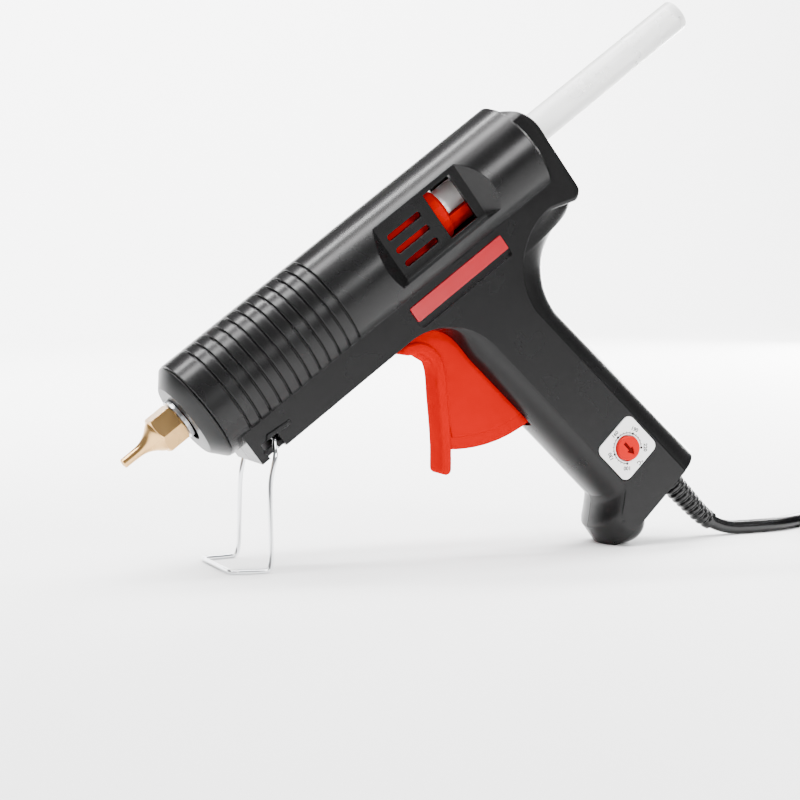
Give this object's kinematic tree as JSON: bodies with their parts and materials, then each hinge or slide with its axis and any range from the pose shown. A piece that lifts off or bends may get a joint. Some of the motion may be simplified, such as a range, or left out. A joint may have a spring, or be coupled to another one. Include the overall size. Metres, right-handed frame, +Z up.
{
  "type": "hot glue gun",
  "caption": "Pistol-shaped hot-glue gun with a brass nozzle, feed trigger, temperature dial, folding wire stand, loaded glue stick and mains cord folded into a tied hank.",
  "frame": {"origin": "on the standing surface, at the middle of the gun's own length and width when it rests on its wire stand and the toe of its handle", "axes": "+Z up, -X towards the nozzle, -Y towards the side with the temperature dial; the barrel tilts 36.8 degrees nose-down"},
  "size_m": [0.3493, 0.0565, 0.1901],
  "materials": {
    "black_plastic": "satin black moulded plastic",
    "nose_black": "heat-resistant matt black plastic",
    "brass": "satin turned brass",
    "steel": "zinc-plated steel",
    "aluminium": "cast aluminium",
    "chrome": "bright nickel-plated wire",
    "red_plastic": "satin red plastic",
    "crimson_lens": "tinted light-bar plastic",
    "knob_red": "satin orange-red plastic",
    "label_white": "printed white plate",
    "glue": "milky translucent hot-melt glue",
    "silicone": "silicone rubber",
    "ceramic": "unglazed ceramic",
    "board_green": "circuit board",
    "lead_sleeve": "woven glass sleeving",
    "cord_rubber": "glossy black cord rubber"
  },
  "bodies": {
    "gun": {"housing_left": "black_plastic", "housing_right": "black_plastic", "housing_screw_1": "steel", "housing_screw_2": "steel", "housing_screw_3": "steel", "housing_screw_4": "steel", "housing_screw_5": "steel", "nose_cap": "nose_black", "nozzle_washer": "steel", "nozzle": "brass", "melt_chamber": "aluminium", "heater_core": "ceramic", "heater_clip": "steel", "heat_shield": "steel", "feed_sleeve": "silicone", "sleeve_clamp": "steel", "guide_rod": "steel", "rod_bracket_front": "black_plastic", "rod_bracket_rear": "black_plastic", "return_spring": "steel", "rear_inlet_collar": "nose_black", "trigger_pin": "steel", "indicator_bar_left": "crimson_lens", "indicator_bar_right": "crimson_lens", "indicator_lamp": "ceramic", "label_plate": "label_white", "dial_potentiometer": "aluminium", "control_board": "board_green", "triac_heatsink": "aluminium", "terminal_block": "ceramic", "cord_clamp": "steel", "cord_clamp_screw": "steel", "cord_inner_end": "cord_rubber", "heater_lead_1": "lead_sleeve", "heater_lead_2": "lead_sleeve", "strain_relief": "cord_rubber", "cord_run": "cord_rubber", "cord_hank": "cord_rubber", "hank_tie": "cord_rubber", "plug_body": "cord_rubber", "plug_pin_1": "steel", "plug_pin_2": "steel"},
    "trigger": {"trigger": "red_plastic", "drive_pin": "steel"},
    "carriage": {"feed_carriage": "red_plastic", "stick_gripper": "red_plastic"},
    "stick": {"glue_stick": "glue"},
    "knob": {"temperature_knob": "knob_red"},
    "stand": {"stand_wire": "chrome"}
  },
  "joints": [
    {"name": "trigger_pull", "type": "hinge", "parent": "gun", "child": "trigger", "pos_m": [0.01249, 0, 0.08338], "axis": [0, -1, 0], "range_deg": [0, 25]},
    {"name": "carriage_slide", "type": "slide", "parent": "gun", "child": "carriage", "axis": [-0.8007, 0, -0.599], "range_m": [0, 0.00809], "stiffness_N_per_m": 900, "springref_m": -0.004, "deforming": ["return_spring"]},
    {"name": "stick_slide", "type": "slide", "parent": "carriage", "child": "stick", "axis": [0.8007, 0, 0.599], "range_m": [0, 0.115]},
    {"name": "knob_turn", "type": "hinge", "parent": "gun", "child": "knob", "pos_m": [0.07357, -0.013, 0.03478], "axis": [0, -1, 0], "range_deg": [-135, 135]},
    {"name": "stand_fold", "type": "hinge", "parent": "gun", "child": "stand", "pos_m": [-0.05526, 0, 0.04306], "axis": [0, 1, 0], "range_deg": [0, 46]}
  ],
  "couplings": [
    {"joint": "trigger_pull", "follows": "carriage_slide", "rad_per_m": 53.908}
  ]
}
